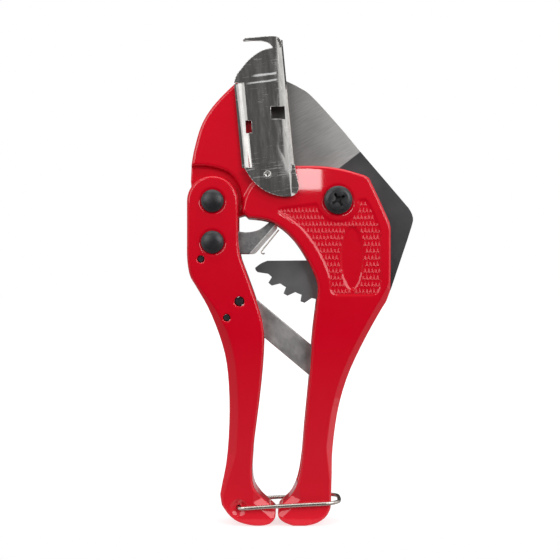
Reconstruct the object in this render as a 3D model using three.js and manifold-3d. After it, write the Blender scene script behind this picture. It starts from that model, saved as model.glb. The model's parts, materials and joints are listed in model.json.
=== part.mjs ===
// Ratchet pipe cutter for plastic pipe, standing closed on its two handle feet.
// Millimetres. X runs across the tool, with the blade's back edge towards +X, Y runs
// through its thickness, with the front face towards -Y, and Z runs up from the feet.
import * as THREE from "three";
import { mergeVertices } from "three/addons/utils/BufferGeometryUtils.js";
import Module from "manifold-3d";

const wasm = await Module();
wasm.setup();

// ---- Driving dimensions ----

// Pivot centres, as [x, z]; every pivot's axis runs along Y.
const BLADE_PIVOT = [19.5, 169.8];
const HANDLE_PIVOT = [-45.9, 169.3];
const PAWL_PIVOT = [-45.9, 147.9];
const GUIDE_PIVOT = [-17.2, 182.9];
const LINK_PIVOT = [-31.9, 117];
const CHECK_PIVOT = [34, 107.6];
const BAIL_PIVOT = [-32.3, 9.6];
const PAWL_STOP_PIN = [-52, 139.1];
const LINK_SPRING_PIN = [-38.5, 108.5];

// Half thicknesses, measured from the middle plane y = 0.
const BODY_HALF = 9.5;
const JAW_HALF = 8;
const TANG_HALF = 5;
const CHEEK_INNER = 5.3;
const BLADE_HALF = 1.5;
const SLOT_HALF = 1.9;
const PAWL_HALF = 4.5;
const PAWL_FORK_INNER = 2.1;
const POCKET_HALF = 4.9;
const CHANNEL_HALF = 5;
const LINK_HALF = 1.3;
const GUIDE_OUTER = 12;
const HEAD_OUTER = 12.3;

const GAP = 0.3;

// Edges: every casting edge is broken, and the outer sides of the grips get a wide slope,
// given as its depth into the thickness and its width over the face.
const CAST_EDGE = 1.1;
const JAW_EDGE = 0.9;
const SLOPE_DEPTH = 2.8;
const BODY_SLOPE = 3.6;
const HANDLE_SLOPE = 4.8;

const TOOTH_PITCH = 10;
const TOOTH_TIP_RADIUS = 56.4;
const TOOTH_ROOT_RADIUS = 52.9;
const TOOTH_COUNT = 7;
const BLADE_SWEEP_RADIUS = 57.3;

const KNUCKLE_RADIUS = 13.4;
const RIVET_HEAD_RADIUS = 6.1;
const RIVET_SHANK_RADIUS = 3.6;
const BOLT_HEAD_RADIUS = 7.4;
const BOLT_SHANK_RADIUS = 4;
const BUSH_RADIUS = 5.4;
const SMALL_PIN_RADIUS = 1.65;
const CHECK_PIN_HALF = 6;
const SUNK_HALF = 8.9;
const HEAD_SEAT_DEPTH = 0.4;
const HEAD_SEAT_GAP = 0.8;
const LINK_PIN_RADIUS = 2.3;
const GUIDE_PIN_RADIUS = 1.9;

const LINK_LENGTH = 61.4;
const LINK_HALF_WIDTH = 6.5;
const LINK_SLOPE_DEG = 40;

const SHEET = 1.1;
const GUIDE_TILT_DEG = 5.4;

const WIRE_RADIUS = 1;
const BAIL_LEG_Y = 10.9;

// ---- Materials ----

const paint = { color: 0xc8001a, roughness: 0.28, metalness: 0.1 };
const bladeSteel = { color: 0x6d6f72, roughness: 0.38, metalness: 1 };
const chrome = { color: 0xd8dadd, roughness: 0.12, metalness: 1 };
const blackOxide = { color: 0x26262a, roughness: 0.45, metalness: 0.8 };
const zinc = { color: 0x9c9d9f, roughness: 0.4, metalness: 1 };
const springWire = { color: 0x9a938a, roughness: 0.3, metalness: 1 };

// ---- Outline helpers: an outline is a list of stretches in the X-Z plane ----

const radians = THREE.MathUtils.degToRad;
const at = ([x, z]) => new THREE.Vector2(x, z);
const line = (...pairs) => pairs.map(at);

function curve(steps, ...pairs) {
  return new THREE.SplineCurve(pairs.map(at)).getPoints(steps);
}

// Angles are anticlockwise from +X, seen with +Z up.
function arc([x, z], radius, fromDeg, toDeg, steps) {
  const points = [];
  for (let i = 0; i <= steps; i++) {
    const a = radians(fromDeg + ((toDeg - fromDeg) * i) / steps);
    points.push(new THREE.Vector2(x + radius * Math.cos(a), z + radius * Math.sin(a)));
  }
  return points;
}

const circle = (centre, radius, steps = 24) =>
  new THREE.Shape(arc(centre, radius, 0, 360 - 360 / steps, steps - 1));

function outline(...stretches) {
  const points = stretches.flat();
  const kept = points.filter((p, i) => {
    const before = points[(i + points.length - 1) % points.length];
    return p.distanceTo(before) > 0.05;
  });
  return new THREE.Shape(kept);
}

const box = (x0, z0, x1, z1) => outline(line([x0, z0], [x1, z0], [x1, z1], [x0, z1]));

// ---- Solid helpers ----

function solid(geometry) {
  const bare = geometry.index ? geometry.toNonIndexed() : geometry;
  bare.deleteAttribute("normal");
  bare.deleteAttribute("uv");
  const merged = mergeVertices(bare, 1e-4);
  return new wasm.Manifold(
    new wasm.Mesh({
      numProp: 3,
      vertProperties: merged.attributes.position.array,
      triVerts: new Uint32Array(merged.index.array),
    }),
  );
}

// An outline made solid between two Y planes. Both its faces can be chamfered: "edge" is
// the chamfer's depth and "width" how far it reaches over the face.
function plate(shape, low, high, edge = 0, width = edge) {
  const geometry = new THREE.ExtrudeGeometry(shape, {
    depth: high - low - 2 * edge,
    curveSegments: 1,
    bevelEnabled: edge > 0,
    bevelThickness: edge,
    bevelSize: width,
    bevelOffset: -width,
    bevelSegments: 1,
  });
  geometry.rotateX(Math.PI / 2);
  geometry.translate(0, high - edge, 0);
  return solid(geometry);
}

const slab = (shape, half, edge = 0, width = edge) => plate(shape, -half, half, edge, width);
const bore = (centre, radius, half = 15, steps = 24) => slab(circle(centre, radius, steps), half);

// A round piece on an axis along Y: profile pairs are [radius, y], from one end to the other.
function turned([x, z], ...profile) {
  const geometry = new THREE.LatheGeometry(
    profile.map(([r, y]) => new THREE.Vector2(r, y)),
    24,
  );
  geometry.translate(x, 0, z);
  return solid(geometry);
}

// A round wire along a smooth path of [x, y, z] points.
function wire(points, radius, steps, sides = 8) {
  const path = new THREE.CatmullRomCurve3(
    points.map((p) => new THREE.Vector3(...p)),
    false,
    "centripetal",
  );
  const section = new THREE.Shape(arc([0, 0], radius, 0, 360 - 360 / sides, sides - 1));
  return solid(new THREE.ExtrudeGeometry(section, { steps, curveSegments: 1, extrudePath: path }));
}

// Points of a coil about an axis along Y.
function coil([x, z], radius, y0, y1, fromDeg, turns, perTurn = 12) {
  const points = [];
  const count = Math.round(turns * perTurn);
  for (let i = 0; i <= count; i++) {
    const a = radians(fromDeg) + (i / perTurn) * 2 * Math.PI;
    const y = y0 + ((y1 - y0) * i) / count;
    points.push([x + radius * Math.cos(a), y, z + radius * Math.sin(a)]);
  }
  return points;
}

const join = (first, ...rest) => rest.reduce((all, next) => all.add(next), first);
const cut = (first, ...rest) => rest.reduce((left, next) => left.subtract(next), first);

const cutter = new THREE.Group();

function piece(name, made, look) {
  const mesh = made.getMesh();
  const geometry = new THREE.BufferGeometry();
  geometry.setAttribute("position", new THREE.BufferAttribute(mesh.vertProperties, 3));
  geometry.setIndex(new THREE.BufferAttribute(mesh.triVerts, 1));
  geometry.computeVertexNormals();
  const part = new THREE.Mesh(geometry, new THREE.MeshStandardMaterial(look));
  part.name = name;
  cutter.add(part);
}

const offset = ([x, z], dx, dz) => [x + dx, z + dz];

// The same outline sunk into both faces of a casting.
function recess(shape, depth) {
  return join(
    plate(shape, -BODY_HALF - 1, -BODY_HALF + depth),
    plate(shape, BODY_HALF - depth, BODY_HALF + 1),
  );
}

// ---- Body casting: head, jaw, tang and right handle in one piece ----

const BODY_TOP_Z = 187.8;
const JAW_MOUTH_X = -20.1;
const JAW_TIP_Z = 241.5;

const gripOuterEdge = () =>
  curve(22, [44.8, 116.8], [41.2, 111], [33.2, 96.5], [25.6, 80.4], [21, 66.3], [18.4, 53.6],
    [16.6, 38], [16.3, 27], [15.9, 12]);

const bodyOuterEdge = () =>
  line([35.8, 181.4], [40.9, 170.6])
    .concat(curve(8, [46.3, 158.6], [46.9, 156], [47, 152], [47, 135], [46.8, 122.5]))
    .concat(gripOuterEdge())
    .concat(curve(8, [15.6, 9], [13.2, 4.6], [8, 1.2], [2.5, 0]));

const headTop = () => curve(10, [-2.4, BODY_TOP_Z], [9.8, 187.7], [21, 186.3], [33.2, 182.9]);

const bodyOutline = outline(
  curve(8, [-30.5, 163.6], [-29.6, 170], [-25.8, 177.6], [-20.1, 182.4], [-15, BODY_TOP_Z]),
  headTop(),
  bodyOuterEdge(),
  curve(8, [-4, 0], [-9.4, 2.2], [-11.9, 5.6], [-10.9, 9.8]),
  curve(18, [-9.6, 11.2], [-4.8, 15.8], [-1.3, 23.5], [0.8, 36], [2.3, 53.6], [4.9, 80.2],
    [6.2, 99.2], [8.2, 116]),
  curve(16, [8.7, 119.5], [8.6, 127], [3.3, 139.1], [-5, 151], [-15.6, 158.7], [-27.5, 160.6]),
);

// An outline that leaves the head and the inner side out, so that its wide slope only meets
// the grip's outer edge, and runs out towards the head and the foot.
const bodyOuterOutline = outline(
  line([-45, -8], [-45, 200], [53, 200], [51.5, 135], [48.4, 123.4]),
  gripOuterEdge().filter((p) => p.y > 40),
  line([18.4, 26], [20.5, 14], [22, 0], [22, -8]),
);

// One that only meets the top of the foot's inner lobe.
const bodyLobeOutline = outline(
  line([-16, -8], [-16, 4.7], [-10.9, 9.8], [-4.8, 15.8], [-6, 24], [-70, 60], [-70, 260]),
  line([60, 260], [60, -8]),
);

const jawOutline = outline(
  line([JAW_MOUTH_X, BODY_TOP_Z - 1], [JAW_MOUTH_X, 236]),
  curve(6, [JAW_MOUTH_X, 239.2], [-21.2, JAW_TIP_Z], [-24.2, 239.9]),
  curve(20, [-26.4, 238.2], [-33.7, 231.4], [-41.2, 224.2], [-47.6, 216.6], [-52.3, 208], [-55.7, 196],
    [-57.2, 187.4]),
  curve(12, [-55.6, 187.9], [-46.7, 187.3], [-37.9, 184.4], [-32.7, 178.6], [-30.5, 171],
    [-30, 163.7]),
  line([-20, 166], [-4, 170], [-4, 185.5]),
);

const tangOutline = outline(
  line([-57.2, 188.5], [-57.6, 180]),
  arc(HANDLE_PIVOT, 11.4, 165, 285, 12),
  line([-29, 162.2], [-18, 164], [-26, 196], [-50, 196]),
);

const bladePocket = outline(arc(BLADE_PIVOT, BLADE_SWEEP_RADIUS, 0, 350, 70));
const jawSlot = outline(line([-29.2, 244], [-22.4, 187], [-5, 187], [-5, 250]));

const pawlPocket = outline(
  curve(6, [-27.5, 150], [-26.5, 159.2], [-17, 161.6], [-8.5, 158.6]),
  line([-2, 152], [-2, 144]),
);

const linkChannel = outline(
  line([-6, 112], [17.4, 112]),
  curve(12, [18.6, 101], [22, 86], [22.3, 76.5], [18.6, 69], [14.6, 58], [12, 44], [10.6, 32],
    [9.8, 22]),
  line([-6, 22]),
);

const checkPocket = outline(
  line([18.6, 116], [18.6, 108.4], [22, 102.2], [31, 100.6]),
  arc(CHECK_PIVOT, 4.4, 250, 420, 8),
  line([33, 116]),
);

// A recessed panel with a wavy left end and a scallop round the blade bolt.
const panelOutline = outline(
  curve(4, [-11.2, 163.4], [-11.4, 164.9], [-9.9, 165.7]),
  line([7.8, 168]),
  arc(BLADE_PIVOT, 10.9, 193, 344, 14),
  curve(8, [30, 169.9], [33.2, 170.5], [35.4, 168.2], [38.4, 162.4], [41.4, 155], [41.8, 151]),
  line([41.8, 128.2]),
  curve(4, [41.6, 125], [40.4, 121.8], [38.6, 120.5], [36.4, 120.1]),
  line([19.4, 120.1]),
  curve(14, [17.6, 120.5], [15.5, 122.5], [14.2, 131.6], [8.8, 143.5], [1.2, 154], [-5, 159.4]),
);
const ovalOutline = new THREE.Shape(
  arc([0, 0], 1, 0, 350, 35).map((p) => new THREE.Vector2(26.7 + 5.9 * p.x, 139.6 + 16.6 * p.y)),
);
const PANEL_DEPTH = 0.45;
const OVAL_DEPTH = 0.95;

const NUT_SEAT_Y = 7.4;
const SPRING_POCKET_Y = 4.9;
const SPRING_POCKET_RADIUS = 8.4;
const NUT_SEAT_RADIUS = 8.4;

function bodyCasting() {
  const handleAndHead = slab(bodyOutline, BODY_HALF, CAST_EDGE).intersect(
    slab(bodyOuterOutline, BODY_HALF, SLOPE_DEPTH, BODY_SLOPE),
  ).intersect(slab(bodyLobeOutline, BODY_HALF, SLOPE_DEPTH, HANDLE_SLOPE));
  const shape = join(
    handleAndHead,
    slab(jawOutline, JAW_HALF, JAW_EDGE),
    slab(tangOutline, TANG_HALF),
  );
  return cut(
    shape,
    slab(bladePocket, SLOT_HALF),
    slab(jawSlot, SLOT_HALF),
    slab(pawlPocket, POCKET_HALF),
    slab(linkChannel, CHANNEL_HALF),
    slab(checkPocket, SLOT_HALF),
    recess(panelOutline, PANEL_DEPTH),
    recess(ovalOutline, OVAL_DEPTH),
    bore(BLADE_PIVOT, BOLT_SHANK_RADIUS + GAP),
    plate(circle(BLADE_PIVOT, SPRING_POCKET_RADIUS), 1, SPRING_POCKET_Y),
    plate(circle(BLADE_PIVOT, NUT_SEAT_RADIUS), NUT_SEAT_Y, 15),
    bore(HANDLE_PIVOT, RIVET_SHANK_RADIUS + GAP),
    bore(GUIDE_PIVOT, GUIDE_PIN_RADIUS + GAP, 15, 16),
    bore(CHECK_PIVOT, SMALL_PIN_RADIUS + GAP, CHECK_PIN_HALF + GAP, 12),
    recess(circle(BLADE_PIVOT, BOLT_HEAD_RADIUS + HEAD_SEAT_GAP), HEAD_SEAT_DEPTH),
  );
}

piece("body_casting", bodyCasting(), paint);

// ---- Left handle: a clevis round the tang and the drive pawl, and a solid grip below ----

const handleOuterEdge = () =>
  curve(30, [-59.3, 147], [-59.2, 139], [-57.8, 130.6], [-54.4, 124.6], [-48.5, 114.2], [-43.2, 101.4],
    [-39.2, 87.6], [-37.5, 72], [-37.3, 53.6], [-38.6, 34.6], [-41, 21.8], [-42, 16.4]);

const handleOutline = outline(
  arc(HANDLE_PIVOT, KNUCKLE_RADIUS, 0, 180, 24),
  handleOuterEdge(),
  curve(16, [-41.2, 11], [-38.8, 7.4], [-36.2, 4.5], [-32.4, 2], [-26.6, 0.4], [-21.5, 0],
    [-16, 1], [-13.2, 4.4], [-13, 8.1]),
  curve(8, [-14.4, 10], [-20.1, 14.6], [-24.4, 20.6], [-25.3, 29.4]),
  curve(18, [-24.4, 42.9], [-21, 69.4], [-19.2, 90.8], [-19.5, 104.5], [-23.2, 117.8], [-28.4, 132.4],
    [-31.4, 140.7], [-32.5, 149]),
);

const handleOuterOutline = outline(
  line([-5, 195], [-66, 195], [-66, 157], [-63.5, 145], [-62.4, 134], [-59.5, 126]),
  line([-53.9, 118.6], [-47.8, 109.8]),
  handleOuterEdge().filter((p) => p.y < 103 && p.y > 38),
  line([-42, 26], [-45.5, 14], [-48, 5], [-48, -8], [-5, -8]),
);
const handleLobeOutline = outline(
  line([-8, -8], [-8, 3.2], [-13.4, 8.6], [-20.1, 14.6], [-19, 24], [40, 60], [40, 260]),
  line([-90, 260], [-90, -8]),
);

const clevisSlot = outline(
  line([-70, 190], [-70, 151.5], [-53, 151.5]),
  curve(6, [-53, 149], [-52.8, 141.5], [-49, 135], [-42, 132.8]),
  line([-18, 132.8], [-18, 190]),
);

// The link plate folds up into this narrow slot, whose mouth is on the grip's inner side.
const linkSlot = outline(
  line([-12, 140], [-39.5, 128], [-42, 118]),
  curve(6, [-41.4, 112], [-38.5, 106.8], [-34, 104]),
  line([-25, 84], [-12, 84]),
);

// A shallow dish where the bail's wire turns into its eye in the foot.
const BAIL_DISH_RADIUS = 4.6;
const BAIL_DISH_DEPTH = 1.5;
function bailDish(side) {
  const profile = [
    [0, side * (BODY_HALF - BAIL_DISH_DEPTH)],
    [BAIL_DISH_RADIUS * 0.55, side * (BODY_HALF - BAIL_DISH_DEPTH * 0.8)],
    [BAIL_DISH_RADIUS, side * BODY_HALF],
    [BAIL_DISH_RADIUS, side * (BODY_HALF + 1)],
    [0, side * (BODY_HALF + 1)],
  ];
  return turned(BAIL_PIVOT, ...(side < 0 ? profile.reverse() : profile));
}

function handleCasting() {
  const whole = slab(handleOutline, BODY_HALF, CAST_EDGE).intersect(
    slab(handleOuterOutline, BODY_HALF, SLOPE_DEPTH, HANDLE_SLOPE),
  ).intersect(slab(handleLobeOutline, BODY_HALF, SLOPE_DEPTH, HANDLE_SLOPE));
  return cut(
    whole,
    slab(clevisSlot, CHEEK_INNER),
    slab(linkSlot, LINK_HALF + GAP),
    slab(circle(LINK_PIVOT, 7.4), CHEEK_INNER),
    plate(circle(LINK_SPRING_PIN, 4.6, 16), -CHEEK_INNER, CHEEK_INNER),
    bore(HANDLE_PIVOT, RIVET_SHANK_RADIUS + GAP),
    bore(PAWL_PIVOT, RIVET_SHANK_RADIUS + GAP),
    bore(LINK_PIVOT, LINK_PIN_RADIUS + GAP, 15, 16),
    bore(LINK_SPRING_PIN, SMALL_PIN_RADIUS + GAP, 15, 12),
    bore(PAWL_STOP_PIN, SMALL_PIN_RADIUS + GAP, 15, 12),
    bailDish(-1),
    bailDish(1),
    recess(circle(HANDLE_PIVOT, RIVET_HEAD_RADIUS + HEAD_SEAT_GAP), HEAD_SEAT_DEPTH),
    recess(circle(PAWL_PIVOT, RIVET_HEAD_RADIUS + HEAD_SEAT_GAP), HEAD_SEAT_DEPTH),
    bore(BAIL_PIVOT, WIRE_RADIUS + GAP, 15, 12),
  );
}

piece("left_handle", handleCasting(), paint);

// ---- Blade: a C-shaped plate with a ground cutting edge and a toothed tail ----

const FIRST_TOOTH_DEG = 229.2;

// Each tooth has a gentle back up to its tip and a steep face, close to a radius, down to
// the next root. The outline meets them from the last tooth to the first.
function teeth() {
  const points = [];
  for (let i = TOOTH_COUNT - 1; i >= 0; i--) {
    const face = FIRST_TOOTH_DEG + i * TOOTH_PITCH;
    points.push(...arc(BLADE_PIVOT, TOOTH_ROOT_RADIUS, face + 7, face + 6, 1));
    points.push(...arc(BLADE_PIVOT, TOOTH_TIP_RADIUS, face + 3, face + 0.6, 1));
    points.push(...arc(BLADE_PIVOT, TOOTH_ROOT_RADIUS, face, face - 1, 1));
  }
  return points;
}

const bladeOutline = outline(
  line([-26.6, 237.8]),
  curve(48, [-25.6, 238], [-13.4, 235.7], [-6.5, 232.8], [-0.7, 229.9], [6, 225.2], [19.7, 210.3],
    [31.6, 196.1], [44.4, 181.2], [57.2, 166.2]),
  curve(5, [58.6, 163.9], [59.6, 160.4], [58.8, 156.6]),
  curve(4, [56.4, 149], [51.2, 133.5], [47.8, 123.3]),
  arc(BLADE_PIVOT, TOOTH_TIP_RADIUS - 0.4, 298.8, 298, 1),
  teeth(),
  arc(BLADE_PIVOT, TOOTH_ROOT_RADIUS, 227, 226.4, 1),
  arc(BLADE_PIVOT, TOOTH_TIP_RADIUS, 221.6, 220.1, 1),
  curve(6, [-23.9, 134.6], [-20.9, 136.9], [-17.4, 138.4]),
  line([7, 138.6]),
  curve(12, [9.6, 139.6], [10.6, 142.4], [7, 150.4], [1.2, 162.4], [-3, 173], [-8.1, 181.6],
    [-20.3, 187.6]),
);

// The cutting edge is ground to a wedge on both faces, along the hidden straight edge.
function bladePlate() {
  const wedge = (side) =>
    plate(
      outline(line([-40, 250], [-34, 180], [-17.6, 184.6], [-23.2, 245])),
      side < 0 ? -BLADE_HALF - 1 : 0.5,
      side < 0 ? -0.5 : BLADE_HALF + 1,
    );
  const body = cut(slab(bladeOutline, BLADE_HALF), bore(BLADE_PIVOT, BUSH_RADIUS + GAP));
  return cut(body, wedge(-1), wedge(1));
}

piece("blade", bladePlate(), bladeSteel);

piece(
  "blade_bush",
  turned(BLADE_PIVOT, [BOLT_SHANK_RADIUS + GAP, -1.7], [BUSH_RADIUS, -1.7], [BUSH_RADIUS, 1.7],
    [BOLT_SHANK_RADIUS + GAP, 1.7], [BOLT_SHANK_RADIUS + GAP, -1.7]),
  { color: 0xb08d4a, roughness: 0.4, metalness: 1 },
);

// ---- Blade bolt with a cross recess, its lock nut and the blade's return spring ----

const SEAT_Y = BODY_HALF - HEAD_SEAT_DEPTH + GAP;

const CROSS_REACH = 3.7;
const CROSS_DEPTH = 2.3;
const CROSS_TURN_DEG = 58;

function bladeBolt() {
  const [r, top] = [BOLT_HEAD_RADIUS, -HEAD_OUTER];
  const blank = turned(BLADE_PIVOT, [0, top], [r - 2.2, top + 0.1], [r - 0.8, top + 0.5],
    [r - 0.1, top + 1.3], [r, -SEAT_Y], [BOLT_SHANK_RADIUS, -SEAT_Y], [BOLT_SHANK_RADIUS, 11.4],
    [BOLT_SHANK_RADIUS - 0.6, 12], [0, 12]);
  const [x, z] = BLADE_PIVOT;
  const wing = (w, h) => plate(box(x - w, z - h, x + w, z + h), top - 1, top + CROSS_DEPTH);
  const turn = (made, deg) =>
    made.translate([-x, 0, -z]).rotate([0, deg, 0]).translate([x, 0, z]);
  return cut(
    blank,
    turn(wing(CROSS_REACH, 0.65), CROSS_TURN_DEG),
    turn(wing(0.65, CROSS_REACH), CROSS_TURN_DEG),
    plate(circle(BLADE_PIVOT, 1.7, 12), top - 1, top + CROSS_DEPTH),
  );
}
piece("blade_bolt", bladeBolt(), blackOxide);

function bladeNut() {
  const hexagon = outline(arc(BLADE_PIVOT, 7.5, 0, 300, 5));
  return cut(
    plate(hexagon, NUT_SEAT_Y + GAP, HEAD_OUTER, 0.5),
    bore(BLADE_PIVOT, BOLT_SHANK_RADIUS + GAP),
  );
}
piece("blade_nut", bladeNut(), blackOxide);

piece(
  "blade_return_spring",
  wire(coil(BLADE_PIVOT, 6.9, 2.6, 4.2, 200, 1.9), 0.5, 46, 6),
  springWire,
);

// ---- Rivets and pins ----

// A domed rivet whose two heads sit on the clevis cheeks.
function rivet(centre) {
  const [r, s, face] = [RIVET_HEAD_RADIUS, RIVET_SHANK_RADIUS, SEAT_Y];
  const dome = [[0.36, 0.14], [0.62, 0.5], [0.82, 1.05], [0.95, 1.75]];
  const head = (side) => [
    [0, side * HEAD_OUTER],
    ...dome.map(([part, drop]) => [r * part, side * (HEAD_OUTER - drop)]),
    [r, side * face],
    [s, side * face],
  ];
  return turned(centre, ...head(-1), ...head(1).reverse());
}
piece("handle_rivet", rivet(HANDLE_PIVOT), blackOxide);
piece("pawl_rivet", rivet(PAWL_PIVOT), blackOxide);

const pin = (centre, radius, half) =>
  turned(centre, [0, -half], [radius - 0.3, -half], [radius, -half + 0.3], [radius, half - 0.3],
    [radius - 0.3, half], [0, half]);
piece("link_pin", pin(LINK_PIVOT, LINK_PIN_RADIUS, SUNK_HALF), blackOxide);
piece("link_spring_pin", pin(LINK_SPRING_PIN, SMALL_PIN_RADIUS, SUNK_HALF), blackOxide);
piece("pawl_stop_pin", pin(PAWL_STOP_PIN, SMALL_PIN_RADIUS, SUNK_HALF), blackOxide);
piece("check_pawl_pin", pin(CHECK_PIVOT, SMALL_PIN_RADIUS, CHECK_PIN_HALF), blackOxide);

// A hollow pin, rolled over at both ends, that carries the pipe guide.
piece(
  "guide_pin",
  turned(GUIDE_PIVOT, [0, -11], [0.9, -11], [1, -12.2], [GUIDE_PIN_RADIUS, -12.2],
    [GUIDE_PIN_RADIUS, 12.2], [1, 12.2], [0.9, 11], [0, 11]),
  chrome,
);

// ---- Drive pawl: a bar forked round the blade, cut at a slant, with a bright bevel ----

const pawlOutline = outline(
  arc(PAWL_PIVOT, 6, 90, 270, 14),
  line([-27.4, 141.9]),
  curve(3, [-25, 142], [-23.9, 142.4], [-23, 143.2]),
  line([-12.7, 154.9]),
  curve(4, [-12.2, 156], [-12.9, 157.4], [-14.6, 158.6], [-16.4, 158.6]),
  curve(8, [-17.6, 157.6], [-21, 155], [-24.6, 153.7], [-29, 153.2], [-33, 153.9]),
);

// Only the slanted end has the wide bevel: the outline is far outside everywhere else.
const pawlBevelOutline = outline(
  line([-70, 130], [-26, 130], [-26, 139.6], [-12.1, 154.6], [-9, 170], [-70, 170]),
);
piece(
  "drive_pawl",
  cut(
    slab(pawlOutline, PAWL_HALF, 0.4).intersect(slab(pawlBevelOutline, PAWL_HALF, 1.1, 1.9)),
    slab(circle(BLADE_PIVOT, BLADE_SWEEP_RADIUS + 1.6, 72), PAWL_FORK_INNER),
    bore(PAWL_PIVOT, RIVET_SHANK_RADIUS + GAP),
  ),
  zinc,
);

// A hair spring wire in front of the pawl's slanted end, curled at its foot.
piece(
  "pawl_spring",
  wire([[-11.4, -3.3, 154.6], [-14, -3.3, 151.4], [-17, -3.3, 147.7], [-19.6, -3.3, 144.5],
    [-20.6, -3.3, 142.9], [-19.9, -3.3, 141.9], [-18.8, -3.3, 142.3]], 0.42, 18, 6),
  springWire,
);

// ---- Check pawl, inside the body just outside the circle of the teeth ----

const checkOutline = outline(
  arc(CHECK_PIVOT, 3.6, -100, 80, 8),
  line([25.4, 112.2], [22.6, 112.2], [23.6, 108.6]),
);
piece(
  "check_pawl",
  cut(slab(checkOutline, BLADE_HALF), bore(CHECK_PIVOT, SMALL_PIN_RADIUS + GAP, 15, 12)),
  zinc,
);

function riser(x, radius, z0, z1, turns) {
  const points = [];
  const count = turns * 10;
  for (let i = 0; i <= count; i++) {
    const a = (i / 10) * 2 * Math.PI;
    points.push([x + radius * Math.cos(a), radius * Math.sin(a), z0 + ((z1 - z0) * i) / count]);
  }
  return points;
}
piece("check_pawl_spring", wire(riser(25.4, 1.2, 102.7, 106.4, 3), 0.22, 36, 5), springWire);

// ---- Link plate between the handles, its slide pin and its spring ----

const slope = radians(LINK_SLOPE_DEG);
const LINK_END = offset(LINK_PIVOT, LINK_LENGTH * Math.cos(slope), -LINK_LENGTH * Math.sin(slope));
const linkOutline = outline(
  arc(LINK_PIVOT, LINK_HALF_WIDTH, 90 - LINK_SLOPE_DEG, 270 - LINK_SLOPE_DEG, 12),
  arc(LINK_END, LINK_HALF_WIDTH, -90 - LINK_SLOPE_DEG, 90 - LINK_SLOPE_DEG, 12),
);
piece(
  "link_plate",
  cut(
    slab(linkOutline, LINK_HALF, 0.3),
    bore(LINK_PIVOT, LINK_PIN_RADIUS + GAP, 15, 16),
    bore(LINK_END, LINK_PIN_RADIUS + GAP, 15, 16),
  ),
  zinc,
);
piece("link_slide_pin", pin(LINK_END, LINK_PIN_RADIUS, CHANNEL_HALF - 0.4), blackOxide);

const springLeg = offset(LINK_SPRING_PIN, 2.4, 0.6);
piece(
  "link_spring",
  wire(
    [
      ...coil(LINK_PIVOT, 4.6, -2.4, -4.4, 20, 2.6),
      [springLeg[0] + 2, -4.4, springLeg[1] + 2.2],
      [springLeg[0], -4.4, springLeg[1] - 1.4],
    ],
    0.45,
    56,
    6,
  ),
  springWire,
);

// ---- Pipe guide: a sheet channel with D-shaped cheeks, a slotted web and a hooked tab ----

// The guide's own frame leans to the left: "along" runs up it and "across" runs from its
// right edge to its left edge.
const lean = radians(GUIDE_TILT_DEG);
const GUIDE_EDGE = [-5, 206];
const GUIDE_LOW = -40;
const GUIDE_HIGH = 60;
const WEB_SLOT_TOP = 43.4;
const WEB_TOP = 47.5;
const WEB_HALF = 8.6;
const SLOT_IN_WEB_HALF = 2.3;
const FLANGE_LOW_Z = 186.4;
const FLANGE_HIGH_Z = 230.4;
const HOOK_BACK_Y = -8.6;

const inGuide = (across, along) => [
  GUIDE_EDGE[0] - across * Math.cos(lean) - along * Math.sin(lean),
  GUIDE_EDGE[1] - across * Math.sin(lean) + along * Math.cos(lean),
];

// The channel's section in [across, y], for the side towards -y: the web and its bend, then
// either a flat cheek or a cheek whose left edge is bent into a flange.
const webSide = (inset) => [
  [inset, 0],
  [inset, -WEB_HALF],
  [0.9 + inset * 0.8, -11.1 + inset * 0.8],
  [3.2 + inset * 0.4, -GUIDE_OUTER + inset],
];
const flatSide = (inset) => [[34, -GUIDE_OUTER + inset]];
const flangedSide = (inset) => [
  [21.9 - inset * 0.4, -GUIDE_OUTER + inset],
  [23.4 - inset * 0.7, -11.2 + inset * 0.7],
  [24.8 - inset * 0.7, -9.9 + inset * 0.5],
  [25.8 - inset * 0.2, -9.4 + inset],
  [27.2, -9.4 + inset],
];

function channelPrism(leftSide) {
  const outer = [...webSide(0), ...leftSide(0)];
  const inner = [...webSide(SHEET), ...leftSide(SHEET)];
  const mirror = (pairs) => pairs.map(([a, y]) => [a, -y]);
  const ring = [
    ...outer.slice(1),
    ...inner.slice(1).reverse(),
    ...mirror(inner.slice(1)),
    ...mirror(outer.slice(1)).reverse(),
  ];
  const section = outline(line(...ring));
  const geometry = new THREE.ExtrudeGeometry(section, {
    depth: GUIDE_HIGH - GUIDE_LOW,
    bevelEnabled: false,
  });
  const across = new THREE.Vector3(-Math.cos(lean), 0, -Math.sin(lean));
  const through = new THREE.Vector3(0, 1, 0);
  const along = new THREE.Vector3(-Math.sin(lean), 0, Math.cos(lean));
  const start = along.clone().multiplyScalar(GUIDE_LOW);
  start.add(new THREE.Vector3(GUIDE_EDGE[0], 0, GUIDE_EDGE[1]));
  const frame = new THREE.Matrix4().makeBasis(across, through, along).setPosition(start);
  geometry.applyMatrix4(frame);
  if (frame.determinant() < 0) {
    const p = geometry.attributes.position.array;
    for (let i = 0; i < p.length; i += 9) {
      for (let k = 0; k < 3; k++) {
        [p[i + 3 + k], p[i + 6 + k]] = [p[i + 6 + k], p[i + 3 + k]];
      }
    }
  }
  return solid(geometry);
}

const cheekOutline = outline(
  line(inGuide(-1, 43), inGuide(2.6, 43)),
  curve(16, [-14.9, 248.2], [-19.5, 247], [-23.4, 244.8], [-27.3, 241.5], [-30.5, 237.6],
    [-33.2, 234], [-34.6, 229]),
  line([-38, 226], [-34, 187]),
  curve(18, [-29.1, 186.7], [-26.4, 182], [-23.2, 178.2], [-19, 174.9], [-14.4, 172.8],
    [-9.7, 171.7], [-5, 171.6], [-2.6, 173], [-1, 177]),
  line([3, 190]),
);

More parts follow.
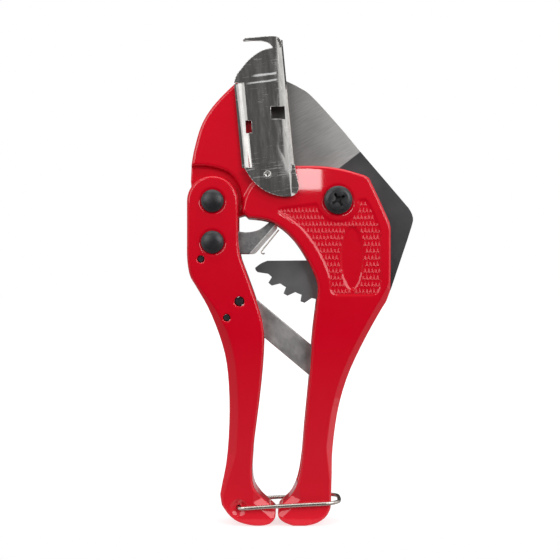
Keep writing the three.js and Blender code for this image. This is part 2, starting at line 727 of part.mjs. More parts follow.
// The hook stands on the front cheek only: a rim that thins towards its tip, with a narrow
// wall behind its upper edge.
const hookTop = curve(12, [-28.9, 253.2], [-20.6, 253.9], [-14.6, 254.4], [-11.3, 253.4],
  [-9.6, 249.8]);
const hookRimOutline = outline(
  hookTop,
  line(inGuide(0, 40), inGuide(6, 40)),
  curve(10, [-14.2, 247.4], [-14.8, 249.4], [-17, 251.3], [-20.1, 252.1]),
  line([-28.9, 252.3]),
);
const hookWallOutline = outline(
  hookTop,
  hookTop.map((p) => new THREE.Vector2(p.x - 0.9, p.y - 0.9)).reverse(),
);

const flareOutline = outline(
  line([-4.9, 188], [-3.3, 188]),
  curve(6, [-3.1, 186.2], [-2.2, 181.5], [-1.2, 177.6], [-1.2, 175.6], [-2.2, 173.2]),
  line([-4.6, 173.4]),
);

function pipeGuide() {
  const cheeks = slab(cheekOutline, GUIDE_OUTER + 1);
  const flangeSpan = slab(box(-60, FLANGE_LOW_Z, 20, FLANGE_HIGH_Z), GUIDE_OUTER + 1);
  const flat = channelPrism(flatSide);
  const flanged = channelPrism(flangedSide).intersect(cheeks).intersect(flangeSpan);
  const ends = flat.intersect(cheeks).subtract(flangeSpan);
  const hook = join(
    flat.intersect(plate(hookRimOutline, -GUIDE_OUTER - 1, HOOK_BACK_Y)),
    plate(hookWallOutline, -GUIDE_OUTER + 0.05, HOOK_BACK_Y),
  );
  const bridge = slab(
    outline(line(inGuide(0, 40), inGuide(0, WEB_TOP), inGuide(SHEET, WEB_TOP), inGuide(SHEET, 40))),
    WEB_HALF,
  );
  const flare = (side) =>
    side < 0
      ? plate(flareOutline, -GUIDE_OUTER + 0.1, -BODY_HALF - 0.4)
      : plate(flareOutline, BODY_HALF + 0.4, GUIDE_OUTER - 0.1);
  const webSlot = outline(
    line(inGuide(-5, -45), inGuide(9, -45), inGuide(9, WEB_SLOT_TOP), inGuide(-5, WEB_SLOT_TOP)),
  );
  const headClearance = box(-20, 160, 8, 188.6);
  const rightWindow = outline(line([-15.7, 218.2], [-8.4, 218.2], [-8, 211.4], [-15.5, 211.4]));
  const leftWindow = outline(line([-28.7, 210.8], [-25.4, 210.8], [-25, 204.2], [-28.4, 204.2]));
  return cut(
    join(flanged, ends, hook, bridge, flare(-1), flare(1)),
    slab(webSlot, SLOT_IN_WEB_HALF),
    slab(headClearance, BODY_HALF + GAP),
    slab(rightWindow, 15),
    slab(leftWindow, 15),
    bore(GUIDE_PIVOT, GUIDE_PIN_RADIUS + GAP, 15, 16),
  );
}
piece("pipe_guide", pipeGuide(), chrome);

piece(
  "guide_spring",
  wire(
    [
      ...coil(GUIDE_PIVOT, 3, 10.15, 10.15, 150, 0.72),
      offset(GUIDE_PIVOT, 3.4, 5).toSpliced(1, 0, 10.15),
      offset(GUIDE_PIVOT, 6, 12).toSpliced(1, 0, 10.15),
    ],
    0.3,
    26,
    6,
  ),
  springWire,
);

// ---- Wire bail: hinged in the left foot, looped over the right foot ----

const bailAt = (x, y) => [x, y, BAIL_PIVOT[1] + (x - BAIL_PIVOT[0]) * 0.058];
const bailHalf = [
  bailAt(BAIL_PIVOT[0], 7.4),
  bailAt(BAIL_PIVOT[0], 9.2),
  bailAt(BAIL_PIVOT[0] + 0.35, 10.2),
  bailAt(BAIL_PIVOT[0] + 1.3, BAIL_LEG_Y),
  bailAt(-15, BAIL_LEG_Y),
  bailAt(0, BAIL_LEG_Y),
  bailAt(14.5, BAIL_LEG_Y),
  bailAt(17.6, 9.6),
  bailAt(19.7, 7.2),
  bailAt(20.4, 4),
];
const mirrored = bailHalf.map(([x, y, z]) => [x, -y, z]);
piece(
  "wire_bail",
  wire([...mirrored, bailAt(20.5, 0), ...bailHalf.toReversed()], WIRE_RADIUS, 84),
  springWire,
);

export default cutter;
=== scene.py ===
"""Looks of a ratchet pipe cutter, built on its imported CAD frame.

Metres, +Z up, front towards -Y.
"""

import json
import math

import bmesh
import bpy
from mathutils import Matrix, Vector
from mathutils.bvhtree import BVHTree


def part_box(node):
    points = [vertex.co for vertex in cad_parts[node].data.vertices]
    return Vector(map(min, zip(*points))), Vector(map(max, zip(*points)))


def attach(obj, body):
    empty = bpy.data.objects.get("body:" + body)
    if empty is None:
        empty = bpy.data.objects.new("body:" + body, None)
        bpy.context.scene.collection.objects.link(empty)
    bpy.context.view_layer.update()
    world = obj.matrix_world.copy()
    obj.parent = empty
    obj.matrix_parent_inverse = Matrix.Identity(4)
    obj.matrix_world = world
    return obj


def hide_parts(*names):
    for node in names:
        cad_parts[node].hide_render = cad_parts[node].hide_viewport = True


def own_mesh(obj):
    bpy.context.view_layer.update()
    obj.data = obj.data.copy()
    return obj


MM = 0.001

# Camera and studio
CAMERA_DISTANCE = 0.510
CAMERA_OFFSET_X = -0.01075
CAMERA_HEIGHT = 0.1282
VIEW_WIDTH = 0.2912
SENSOR_WIDTH = 36.0

FLOOR_FRONT_Y = -0.026

# Cast parts: the finest rounding that a painted casting keeps
CAST_VOXEL = 0.45 * MM

# Raised scales in the recessed thumb panel
SCALE_PITCH_X = 1.86 * MM
SCALE_PITCH_Z = 3.5 * MM
SCALE_HEIGHT = 0.25 * MM
SCALE_MARGIN = 0.42 * MM
PANEL_DEPTH = 0.45 * MM

# Burr along the guide's sheared edges
RIM_RADIUS = 0.26 * MM

# The drive pawl's slanted end: its foot, its direction, and the width of its ground bevel, painted
# as a bright highlight
PAWL_END_X = -23 * MM
PAWL_END_Z = 143.2 * MM
PAWL_END_ALONG = (0.661, 0.75)
PAWL_BEVEL_HIGHLIGHT = 2.3 * MM
PAWL_HIGHLIGHT_BLUR = 0.3 * MM

# Lights, in watts
LEFT_KEY = 2.15
RIGHT_KEY = 2.9
WALL = 0.82
WING = 0.75
OVERHEAD = 3.0
CARD = 0.06

# Where the small card stands beside the lens
CARD_X = 0.0195
CARD_Y = -0.519
CARD_Z = 0.249

# How much of the floor's glow is taken away in reflections
FLOOR_HIDDEN = 0.95

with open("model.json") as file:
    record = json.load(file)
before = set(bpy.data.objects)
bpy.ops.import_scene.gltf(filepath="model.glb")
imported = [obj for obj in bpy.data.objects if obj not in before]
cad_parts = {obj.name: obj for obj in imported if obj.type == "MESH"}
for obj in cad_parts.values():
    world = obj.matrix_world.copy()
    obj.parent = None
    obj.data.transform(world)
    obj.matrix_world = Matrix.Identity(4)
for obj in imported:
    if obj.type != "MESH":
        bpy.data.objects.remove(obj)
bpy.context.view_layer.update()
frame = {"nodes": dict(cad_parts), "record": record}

RECORD = frame["record"]
BODY_OF = {n: b for b, nodes in RECORD["behaviour"]["bodies"].items() for n in nodes}
SLOT_OF = {s["node"]: s["material_slot"] for s in RECORD["subparts"]}
JOINT_AT = {j["name"]: Vector(j["pos_m"]) for j in RECORD["behaviour"]["joints"]}


# ---- Materials ----


class Shader:
    """A Principled material that is built up node by node."""

    def __init__(self, name, color, roughness, metallic=0.0, coat=0.0, specular=0.5):
        self.material = bpy.data.materials.new(name)
        self.material.use_nodes = True
        self.tree = self.material.node_tree
        self.bsdf = self.tree.nodes["Principled BSDF"]
        self.bsdf.inputs["Base Color"].default_value = (*color, 1)
        self.bsdf.inputs["Roughness"].default_value = roughness
        self.bsdf.inputs["Metallic"].default_value = metallic
        self.bsdf.inputs["Coat Weight"].default_value = coat
        self.bsdf.inputs["Coat Roughness"].default_value = 0.06
        self.bsdf.inputs["Specular IOR Level"].default_value = specular
        coords = self.tree.nodes.new("ShaderNodeTexCoord")
        self.place = coords.outputs["Object"]
        self.height = None

    def node(self, kind, **values):
        made = self.tree.nodes.new(kind)
        for key, value in values.items():
            setattr(made, key, value)
        return made

    def link(self, a, b):
        self.tree.links.new(a, b)

    def stretched(self, scale, slope=0.0):
        """Coordinates turned by a slope in the X-Z plane (degrees) and then stretched."""
        turned = self.node("ShaderNodeMapping")
        turned.inputs["Rotation"].default_value = (0, math.radians(slope), 0)
        self.link(self.place, turned.inputs["Vector"])
        mapping = self.node("ShaderNodeMapping")
        mapping.inputs["Scale"].default_value = scale
        self.link(turned.outputs["Vector"], mapping.inputs["Vector"])
        return mapping.outputs["Vector"]

    def noise(self, scale, detail=3.0, roughness=0.55, where=None):
        made = self.node("ShaderNodeTexNoise")
        made.inputs["Scale"].default_value = scale
        made.inputs["Detail"].default_value = detail
        made.inputs["Roughness"].default_value = roughness
        self.link(where or self.place, made.inputs["Vector"])
        return made.outputs["Fac"]

    def remap(self, value, low, high, to_low=0.0, to_high=1.0):
        made = self.node("ShaderNodeMapRange")
        made.inputs["From Min"].default_value = low
        made.inputs["From Max"].default_value = high
        made.inputs["To Min"].default_value = to_low
        made.inputs["To Max"].default_value = to_high
        self.link(value, made.inputs["Value"])
        return made.outputs["Result"]

    def math(self, operation, a, b):
        made = self.node("ShaderNodeMath", operation=operation)
        for socket, value in zip(made.inputs, (a, b)):
            if isinstance(value, (int, float)):
                socket.default_value = value
            else:
                self.link(value, socket)
        return made.outputs[0]

    def mix(self, factor, a, b):
        made = self.node("ShaderNodeMix", data_type="RGBA")
        self.link(factor, made.inputs["Factor"])
        for socket, value in ((made.inputs[6], a), (made.inputs[7], b)):
            if isinstance(value, tuple):
                socket.default_value = (*value, 1)
            else:
                self.link(value, socket)
        return made.outputs[2]

    def bump(self, height, strength, distance):
        made = self.node("ShaderNodeBump")
        made.inputs["Strength"].default_value = strength
        made.inputs["Distance"].default_value = distance
        self.link(height, made.inputs["Height"])
        if self.height:
            self.link(self.height, made.inputs["Normal"])
        self.height = made.outputs["Normal"]
        self.link(self.height, self.bsdf.inputs["Normal"])

    def color(self, value):
        self.link(value, self.bsdf.inputs["Base Color"])

    def rough(self, value):
        self.link(value, self.bsdf.inputs["Roughness"])

    def position(self, axis):
        split = self.node("ShaderNodeSeparateXYZ")
        self.link(self.place, split.inputs[0])
        return split.outputs[axis]


def red_enamel(name, coat, coat_roughness):
    """Glossy enamel over a die casting: a smooth clear skin, softer low on the grips, and paler
    there as painted light bounced up from the floor.
    """
    s = Shader(name, (0.60, 0.0, 0.012), 0.34, coat=coat, specular=0.06)
    s.bsdf.inputs["Coat Roughness"].default_value = coat_roughness
    height = s.position("Z")
    # Low on the grips: a rougher finish, and a paler colour painted as light bounced up from the
    # floor.
    grip_soft_and_painted_bounce = s.remap(height, 0.1, 0.04)
    cloud = s.noise(60, 4)
    base = s.mix(cloud, (0.57, 0.0, 0.01), (0.62, 0.0, 0.014))
    s.color(s.mix(grip_soft_and_painted_bounce, base, (0.65, 0.01, 0.024)))
    rough_cast = s.noise(230, 5, 0.7)
    soft = s.math("MULTIPLY", grip_soft_and_painted_bounce, 0.12)
    s.rough(s.math("ADD", s.remap(rough_cast, 0.3, 0.7, 0.28, 0.4), soft))
    s.bump(rough_cast, 0.16, 0.00022)
    return s.material


def blade_steel():
    """Dark hardened plate, ground lighter along the cutting part with slanted grinding lines, with
    painted light on the toothed end and a painted sheen along the ground part.
    """
    s = Shader("blade_steel", (0.2, 0.2, 0.21), 0.36, metallic=1)
    lines = s.noise(1, 4, 0.6, s.stretched((150, 150, 2300), 28))
    stain = s.noise(38, 5, 0.65)
    pivot = JOINT_AT["blade_hinge"]
    x = s.math("SUBTRACT", s.position("X"), pivot.x + 0.0042)
    z = s.math("SUBTRACT", s.position("Z"), pivot.z + 0.0197)
    # How far a point lies above the ground part's lower border, and how far along it.
    above = s.math("SUBTRACT", s.math("MULTIPLY", z, 0.79), s.math("MULTIPLY", x, 0.61))
    ground = s.remap(above, 0.0, 0.0005)
    # Painted sheen: the ground part turns from dull to bright along x.
    painted_sheen_fade = s.remap(x, -0.03, 0.006, 0.0, 1.0)
    deep = s.remap(above, -0.034, -0.002, 1.0, 0.0)
    # The plate's own dark tone, and a paler copy of it painted as light.
    plain = s.mix(stain, (0.06, 0.06, 0.062), (0.11, 0.108, 0.112))
    painted_lit_tone = s.mix(stain, (0.21, 0.21, 0.214), (0.32, 0.318, 0.32))
    # Only the toothed tail is pale, as painted light; the point behind the pivot stays dark.
    tail_painted_light = s.math("MULTIPLY", deep, s.remap(x, 0.02, -0.005))
    tone_with_painted_light = s.mix(tail_painted_light, plain, painted_lit_tone)
    # The ground part is truly paler steel; its brighter end is a painted sheen.
    dull = s.mix(lines, (0.17, 0.164, 0.16), (0.34, 0.325, 0.315))
    painted_sheen = s.mix(lines, (0.34, 0.334, 0.325), (0.7, 0.685, 0.67))
    s.color(s.mix(ground, tone_with_painted_light, s.mix(painted_sheen_fade, dull, painted_sheen)))
    s.rough(s.remap(stain, 0.3, 0.7, 0.36, 0.46))
    s.bump(s.math("MULTIPLY", lines, ground), 0.14, 0.00008)
    return s.material


def chrome_sheet():
    """Bright plating on pressed sheet: pale upright streaks, painted reflection in the colour and
    smudges in the roughness, fine level scratches, two long scuffs.
    """
    s = Shader("chrome_sheet", (0.6, 0.6, 0.6), 0.1, metallic=1)
    smudge_and_reflection = s.noise(1, 5, 0.65, s.stretched((380, 300, 60), 5.4))
    cloud = s.noise(500, 4, 0.6)
    scratch = s.noise(1, 3, 0.6, s.stretched((110, 110, 1900), 7))
    patch = s.noise(34, 3)
    x, z = s.position("X"), s.position("Z")
    level = s.math("SUBTRACT", z, s.math("MULTIPLY", x, 0.13))
    level = s.math("ADD", level, s.math("MULTIPLY", s.math("SUBTRACT", scratch, 0.5), 0.001))
    streaks = 0.0
    for centre, half, start, end in (
        (0.23700, 0.0008, -0.0262, -0.0122), (0.23345, 0.0007, -0.0290, -0.0118),
    ):
        off = s.math("ABSOLUTE", s.math("SUBTRACT", level, centre), 0.0)
        near = s.math("MULTIPLY", s.remap(x, start, start + 0.003), s.remap(x, end, end - 0.001))
        streaks = s.math("ADD", streaks, s.math("MULTIPLY", s.remap(off, half, half * 0.4), near))
    # Rubbed marks near the guide's pin.
    low = s.math("MULTIPLY", s.remap(z, 0.1795, 0.182), s.remap(z, 0.1905, 0.188))
    rubbed = s.math("MULTIPLY", s.remap(scratch, 0.54, 0.62), low)
    fine = s.math("MULTIPLY", s.remap(scratch, 0.6, 0.66), s.remap(patch, 0.47, 0.56, 0.0, 0.3))
    worn = s.remap(scratch, 0.3, 0.5, 0.55, 1.0)
    marks = s.math("MAXIMUM", s.math("MULTIPLY", streaks, worn), fine)
    marks = s.math("MAXIMUM", marks, s.math("MULTIPLY", rubbed, 0.5))
    # Pale upright streaks: a painted reflection in the colour; as smudges they also roughen the
    # plating.
    pale = s.math("ADD", s.remap(smudge_and_reflection, 0.4, 0.64, 0.0, 0.8), s.remap(cloud, 0.3, 0.7, 0.0, 0.2))
    tone = s.mix(pale, (0.56, 0.548, 0.53), (0.86, 0.84, 0.81))
    s.color(s.mix(marks, tone, (1.0, 1.0, 1.0)))
    s.rough(s.math("ADD", s.math("MULTIPLY", marks, 0.55), s.remap(smudge_and_reflection, 0.4, 0.65, 0.07, 0.2)))
    s.bump(scratch, 0.03, 0.00005)
    return s.material


def black_oxide():
    s = Shader("black_oxide", (0.04, 0.04, 0.043), 0.36, metallic=0.4, specular=0.6)
    cloud = s.noise(240, 4)
    s.color(s.mix(cloud, (0.014, 0.014, 0.016), (0.036, 0.036, 0.039)))
    s.rough(s.remap(cloud, 0.3, 0.7, 0.3, 0.46))
    s.bump(s.noise(900, 2), 0.08, 0.00005)
    return s.material


def zinc_plate():
    """Dull zinc plating with a mottled bloom and drawn lines along the bar, darker near the
    ratchet, and a painted highlight on the drive pawl's bevel.
    """
    s = Shader("zinc_plate", (0.42, 0.42, 0.42), 0.4, metallic=0.85)
    bloom = s.noise(150, 6, 0.7)
    lines = s.noise(1, 3, 0.6, s.stretched((60, 700, 1400), -40))
    base = s.mix(bloom, (0.3, 0.3, 0.295), (0.72, 0.715, 0.7))
    plated = s.mix(s.remap(lines, 0.35, 0.75, 0.0, 0.5), base, (0.62, 0.61, 0.6))
    # Mottled and darker close to the ratchet.
    darker_near_ratchet = s.math("MULTIPLY", s.remap(s.position("Z"), 0.125, 0.138), s.remap(bloom, 0.3, 0.55))
    # The wide bevel at the drive pawl's slanted end is ground, and painted near white as a
    # highlight.
    x = s.math("SUBTRACT", s.position("X"), PAWL_END_X)
    z = s.math("SUBTRACT", s.position("Z"), PAWL_END_Z)
    run, rise = PAWL_END_ALONG
    past = s.math("SUBTRACT", s.math("MULTIPLY", x, rise), s.math("MULTIPLY", z, run))
    above_link = s.remap(s.position("Z"), 0.13, 0.135)
    inner = -PAWL_BEVEL_HIGHLIGHT
    # The bevel band, painted near white: a painted highlight.
    ground = s.math("MULTIPLY", s.remap(past, inner, inner + PAWL_HIGHLIGHT_BLUR), above_link)
    s.color(s.mix(ground, s.mix(darker_near_ratchet, plated, (0.2, 0.2, 0.205)), (0.95, 0.94, 0.92)))
    s.rough(s.remap(bloom, 0.3, 0.7, 0.3, 0.52))
    s.bump(bloom, 0.14, 0.0001)
    return s.material


def spring_wire():
    s = Shader("spring_wire", (0.5, 0.46, 0.41), 0.24, metallic=1)
    drawn = s.noise(420, 4)
    s.color(s.mix(drawn, (0.5, 0.46, 0.41), (0.62, 0.58, 0.53)))
    s.rough(s.remap(drawn, 0.3, 0.7, 0.2, 0.32))
    return s.material


def bronze():
    s = Shader("bronze", (0.5, 0.34, 0.16), 0.42, metallic=1)
    grain = s.noise(600, 4)
    s.color(s.mix(grain, (0.38, 0.25, 0.11), (0.58, 0.42, 0.22)))
    s.bump(grain, 0.15, 0.00006)
    return s.material


MATERIALS = {
    "red_paint": red_enamel("red_enamel", 0.85, 0.035),
    "blade_steel": blade_steel(),
    "chrome_plate": chrome_sheet(),
    "black_oxide": black_oxide(),
    "zinc_plate": zinc_plate(),
    "spring_wire": spring_wire(),
    "bronze": bronze(),
}
# The skin runs thin over the panel's small scales, and shines less there.
THIN_ENAMEL = red_enamel("thin_red_enamel", 0.42, 0.1)


# ---- Pieces ----


def finished(piece, slot, body):
    piece.data.materials.clear()
    piece.data.materials.append(MATERIALS[slot])
    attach(piece, body)
    return piece


def copy_of(node):
    """A piece that starts as the CAD node's shape, with its seams welded, and stands for it."""
    shape = bmesh.new()
    shape.from_mesh(frame["nodes"][node].data)
    bmesh.ops.remove_doubles(shape, verts=shape.verts, dist=1e-6)
    bmesh.ops.dissolve_limit(
        shape, angle_limit=math.radians(0.4), verts=shape.verts, edges=shape.edges
    )
    mesh = bpy.data.meshes.new(node + "_finish")
    shape.to_mesh(mesh)
    shape.free()
    piece = bpy.data.objects.new(node + "_finish", mesh)
    bpy.context.collection.objects.link(piece)
    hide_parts(node)
    return finished(piece, SLOT_OF[node], BODY_OF[node])


def eased(node, voxel, passes):
    """A casting or pressing: every edge rounded over, as the mould or the die leaves it."""
    piece = copy_of(node)
    skin = piece.modifiers.new("skin", "REMESH")
    skin.mode = "VOXEL"
    skin.voxel_size = voxel
    skin.use_smooth_shade = True
    ease = piece.modifiers.new("ease", "SMOOTH")
    ease.factor = 0.5
    ease.iterations = passes
    return piece


def edged(node, width, angle=32):
    """A machined or cut piece: flat faces, with its edges just broken."""
    piece = copy_of(node)
    piece.data.shade_smooth()
    piece.data.set_sharp_from_angle(angle=math.radians(angle))
    broken = piece.modifiers.new("broken_edge", "BEVEL")
    broken.width = width
    broken.segments = 2
    broken.limit_method = "ANGLE"
    broken.angle_limit = math.radians(angle)
    broken.harden_normals = True
    return piece


def smooth_wire(node):
    piece = copy_of(node)
    piece.data.shade_smooth()
    piece.data.set_sharp_from_angle(angle=math.radians(60))
    return piece


def surface_of(node):
    mesh = frame["nodes"][node].data
    return BVHTree.FromPolygons(
        [v.co.copy() for v in mesh.vertices], [tuple(p.vertices) for p in mesh.polygons]
    )


def guide_rim():
    """The thin bright burr round the guide's cheeks, as beads along their sheared edges."""
    mesh = frame["nodes"]["pipe_guide"].data
    shape = bmesh.new()
    shape.from_mesh(mesh)
    bmesh.ops.remove_doubles(shape, verts=shape.verts, dist=1e-6)
    shape.normal_update()
    outer = max(abs(v.co.y) for v in shape.verts) - RIM_RADIUS
    burr = bmesh.new()
    for edge in shape.edges:
        if len(edge.link_faces) != 2:
            continue
        flat = [abs(f.normal.y) > 0.99 for f in edge.link_faces]
        on_cheek = all(abs(v.co.y) > outer for v in edge.verts)
        if on_cheek and flat[0] != flat[1]:
            bead(burr, edge.verts[0].co, edge.verts[1].co)
    # No bead may reach past the pressing itself.
    for k in range(3):
        low = min(v.co[k] for v in shape.verts)
        high = max(v.co[k] for v in shape.verts)
        for v in burr.verts:
            v.co[k] = min(max(v.co[k], low), high)
    shape.free()
    made = bpy.data.meshes.new("guide_rim")
    burr.to_mesh(made)
    burr.free()
    piece = bpy.data.objects.new("guide_rim", made)
    bpy.context.collection.objects.link(piece)
    made.shade_smooth()
    return finished(piece, "chrome_plate", BODY_OF["pipe_guide"])


def bead(shape, a, b):
    """A six-sided rod from a to b, set in from the cheek's face, closed at both ends."""
    along = (b - a).normalized()
    sink = Vector((0, RIM_RADIUS if a.y < 0 else -RIM_RADIUS, 0))
    side = along.cross(Vector((0, 1, 0))).normalized() * RIM_RADIUS
    depth = Vector((0, RIM_RADIUS, 0))
    rings = []
    for end, reach in ((a, -1), (b, 1)):
        centre = end + sink + along * (reach * RIM_RADIUS * 0.4)
        turns = [math.radians(60 * k) for k in range(6)]
        rings.append([
            shape.verts.new(centre + side * math.cos(t) + depth * math.sin(t)) for t in turns
        ])
    for k in range(6):
        m = (k + 1) % 6
        shape.faces.new((rings[0][k], rings[0][m], rings[1][m], rings[1][k]))
    shape.faces.new(rings[0][::-1])
    shape.faces.new(rings[1])


def thumb_panel_scales(side):
    """Rows of pointed scales on the floor of the casting's recessed panel, found by probing it."""
    cast = surface_of("body_casting")
    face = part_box("body_casting")[0].y * -side
    low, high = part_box("body_casting")

    def depth(x, z):
        hit = cast.ray_cast(Vector((x, side * 0.03, z)), Vector((0, -side, 0)))[0]
        return None if hit is None else abs(face) - abs(hit.y)

    def on_floor(x, z):
        spots = [(0, 0), (SCALE_MARGIN, 0), (-SCALE_MARGIN, 0), (0, 1.6 * SCALE_MARGIN),
                 (0, -1.2 * SCALE_MARGIN)]
        found = [depth(x + dx, z + dz) for dx, dz in spots]
        return all(d is not None and abs(d - PANEL_DEPTH) < 0.06 * MM for d in found)

    shape = bmesh.new()
    rows = int((high.z - low.z) / SCALE_PITCH_Z)
    columns = int((high.x - low.x) / SCALE_PITCH_X)
    for r in range(rows):
        for c in range(columns):
            x = low.x + (c + 0.5 * (r % 2)) * SCALE_PITCH_X
            z = low.z + r * SCALE_PITCH_Z
            if z > 0.1 and on_floor(x, z):
                add_scale(shape, x, z, side, abs(face) - PANEL_DEPTH)
    mesh = bpy.data.meshes.new("scales")
    shape.normal_update()
    bmesh.ops.recalc_face_normals(shape, faces=shape.faces)
    shape.to_mesh(mesh)
    shape.free()
    name = "panel_scales_" + ("back" if side > 0 else "front")
    piece = bpy.data.objects.new(name, mesh)
    bpy.context.collection.objects.link(piece)
    finished(piece, "red_paint", "body").data.materials[0] = THIN_ENAMEL


def add_scale(shape, x, z, side, floor):
    """One scale: a pointed roof whose keel rises from its upper tip to its foot."""
    half, up, down = 0.47 * SCALE_PITCH_X, 0.42 * SCALE_PITCH_Z, 0.38 * SCALE_PITCH_Z
    root = floor - 0.12 * MM

    def corner(dx, dz, out):
        return shape.verts.new((x + dx, side * out, z + dz))

    tip, left, right = corner(0, up, floor), corner(-half, -down, floor), corner(half, -down, floor)
    keel = corner(0, -0.55 * down, floor + SCALE_HEIGHT)
    under = [corner(0, up, root), corner(-half, -down, root), corner(half, -down, root)]
    shape.faces.new((tip, left, keel))
    shape.faces.new((tip, keel, right))
    shape.faces.new((left, right, keel))
    shape.faces.new(under)
    ring = [tip, left, right]
    for i in range(3):
        k = (i + 1) % 3
        shape.faces.new((ring[i], under[i], under[k], ring[k]))


ENAMELLED = []
PLATED = []


def dress_every_node():
    for node in ("body_casting", "left_handle"):
        ENAMELLED.append(eased(node, CAST_VOXEL, 4))
    PLATED.append(edged("pipe_guide", 0.2 * MM))
    PLATED.append(guide_rim())
    for node in ("blade", "link_plate", "drive_pawl", "check_pawl"):
        edged(node, 0.16 * MM)
    for node in ("blade_nut", "blade_bush"):
        edged(node, 0.2 * MM)
    edged("blade_bolt", 0.14 * MM, 40)
    edged("guide_pin", 0.3 * MM, 40)
    for node in ("handle_rivet", "pawl_rivet", "link_pin", "link_spring_pin"):
        edged(node, 0.12 * MM, 40)
    for node in ("pawl_stop_pin", "check_pawl_pin", "link_slide_pin"):
        edged(node, 0.12 * MM, 40)
    for node in SLOT_OF:
        if node.endswith("spring") or node == "wire_bail":
            wire = smooth_wire(node)
            if node == "check_pawl_spring":
                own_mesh(wire)
    for side in (-1, 1):
        thumb_panel_scales(side)


# ---- Studio ----


def softbox(name, place, aim, size, watts, spread=180.0):
    lamp = bpy.data.lights.new(name, "AREA")
    lamp.shape = "RECTANGLE"
    lamp.size, lamp.size_y = size
    lamp.energy = watts
    lamp.spread = math.radians(spread)
    thing = bpy.data.objects.new(name, lamp)
    bpy.context.collection.objects.link(thing)
    thing.location = place
    thing.rotation_mode = "QUATERNION"
    thing.rotation_quaternion = (Vector(aim) - Vector(place)).to_track_quat("-Z", "Y")
    return thing


def limit_to(lamp, pieces, state):
    """Light only these pieces, or every piece but these."""
    chosen = bpy.data.collections.new(lamp.name + "_" + state.lower())
    for piece in pieces:
        chosen.objects.link(piece)
    for entry in chosen.collection_objects:
        entry.light_linking.link_state = state
    lamp.light_linking.receiver_collection = chosen


def studio():
    middle = Vector((0, 0, 0.13))
    for name, side, watts in (("left", -1, LEFT_KEY), ("right", 1, RIGHT_KEY)):
        key = softbox(name + "_key", (0.42 * side, -0.52, 0.42), middle, (0.5, 0.42), watts)
        limit_to(key, PLATED, "EXCLUDE")
        wall = softbox(name + "_wall", (0.42 * side, -0.46, 0.22), middle, (0.6, 0.7), WALL)
        limit_to(wall, PLATED, "INCLUDE")
        wing = softbox(name + "_wing", (0.7 * side, -0.1, 0.2), middle, (0.4, 0.8), WING)
        if side < 0:
            limit_to(wing, ENAMELLED, "EXCLUDE")
    softbox("overhead", (0.0, -0.12, 0.8), middle, (0.9, 0.5), OVERHEAD)
    # A small card beside the lens, mirrored in the flat enamel next to the guide.
    spot = (CARD_X, CARD_Y, CARD_Z)
    card = softbox("lens_card", spot, (CARD_X, 0, CARD_Z), (0.026, 0.054), CARD)
    limit_to(card, ENAMELLED, "INCLUDE")


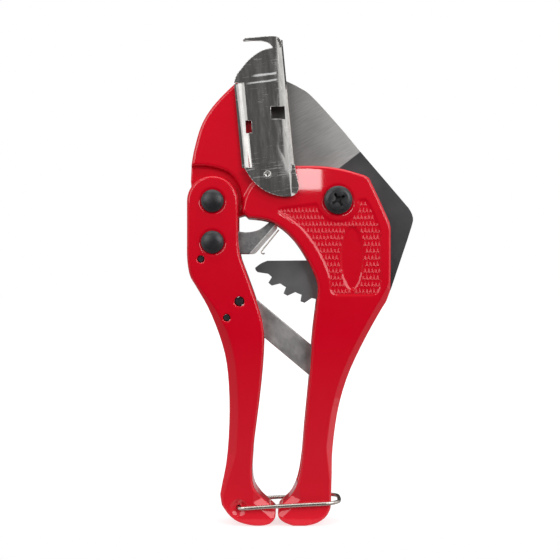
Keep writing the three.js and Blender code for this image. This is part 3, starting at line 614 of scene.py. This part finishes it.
def sky():
    """White for the camera. Otherwise bright at the sides, dim behind the lens and far behind."""
    world = bpy.data.worlds.new("studio")
    bpy.context.scene.world = world
    world.use_nodes = True
    nodes, links = world.node_tree.nodes, world.node_tree.links
    nodes.clear()

    def ramp(value, low, high, to_low, to_high):
        made = nodes.new("ShaderNodeMapRange")
        made.inputs["From Min"].default_value = low
        made.inputs["From Max"].default_value = high
        made.inputs["To Min"].default_value = to_low
        made.inputs["To Max"].default_value = to_high
        links.new(value, made.inputs["Value"])
        return made.outputs["Result"]

    def combine(operation, a, b):
        made = nodes.new("ShaderNodeMath")
        made.operation = operation
        links.new(a, made.inputs[0])
        links.new(b, made.inputs[1])
        return made.outputs[0]

    coords = nodes.new("ShaderNodeTexCoord")
    split = nodes.new("ShaderNodeSeparateXYZ")
    links.new(coords.outputs["Generated"], split.inputs[0])
    dim = ramp(split.outputs["Y"], -0.85, -0.2, 0.05, 0.6)
    lift = ramp(split.outputs["Z"], -0.05, 0.12, 0.0, 0.1)
    far = ramp(split.outputs["Y"], 0.35, 0.8, 1.0, 0.1)
    room = nodes.new("ShaderNodeBackground")
    strength = combine("MULTIPLY", combine("ADD", dim, lift), far)
    links.new(strength, room.inputs["Strength"])
    white = nodes.new("ShaderNodeBackground")
    white.inputs["Color"].default_value = (1, 1, 1, 1)
    white.inputs["Strength"].default_value = 1.0
    pick = nodes.new("ShaderNodeMixShader")
    path = nodes.new("ShaderNodeLightPath")
    links.new(path.outputs["Is Camera Ray"], pick.inputs[0])
    links.new(room.outputs[0], pick.inputs[1])
    links.new(white.outputs[0], pick.inputs[2])
    out = nodes.new("ShaderNodeOutputWorld")
    links.new(pick.outputs[0], out.inputs["Surface"])


def floor():
    """A white sweep that begins just in front of the tool, so nothing pale lies before it."""
    shape = bmesh.new()
    bmesh.ops.create_grid(shape, x_segments=2, y_segments=2, size=3.0)
    bmesh.ops.translate(shape, verts=shape.verts, vec=(0, 3.0 + FLOOR_FRONT_Y, 0))
    mesh = bpy.data.meshes.new("floor")
    shape.to_mesh(mesh)
    shape.free()
    ground = bpy.data.objects.new("floor", mesh)
    bpy.context.collection.objects.link(ground)
    ground.location.z = -0.0002
    paper = Shader("white_paper", (0.45, 0.45, 0.45), 0.9, specular=0.0)
    paper.color(paper.mix(paper.noise(3, 2), (0.44, 0.44, 0.44), (0.46, 0.46, 0.46)))
    paper.bsdf.inputs["Emission Color"].default_value = (1, 1, 1, 1)
    glow = paper.remap(paper.position("Y"), 0.05, 0.6, 0.68, 1.0)
    # The sweep glows less in reflections, so the grips' inner edges stay dark.
    mirrored = paper.node("ShaderNodeLightPath").outputs["Is Glossy Ray"]
    seen = paper.math("SUBTRACT", 1.0, paper.math("MULTIPLY", mirrored, FLOOR_HIDDEN))
    paper.link(paper.math("MULTIPLY", glow, seen), paper.bsdf.inputs["Emission Strength"])
    mesh.materials.append(paper.material)


def camera():
    lens = bpy.data.cameras.new("camera")
    lens.sensor_width = SENSOR_WIDTH
    lens.lens = SENSOR_WIDTH * CAMERA_DISTANCE / VIEW_WIDTH
    lens.clip_start = 0.01
    lens.clip_end = 20
    eye = bpy.data.objects.new("camera", lens)
    bpy.context.collection.objects.link(eye)
    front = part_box("body_casting")[0].y
    eye.matrix_world = Matrix.Translation(
        (CAMERA_OFFSET_X, front - CAMERA_DISTANCE, CAMERA_HEIGHT)
    ) @ Matrix.Rotation(math.pi / 2, 4, "X")
    bpy.context.scene.camera = eye


camera()
sky()
floor()
dress_every_node()
studio()
bpy.context.scene.view_settings.view_transform = "Standard"
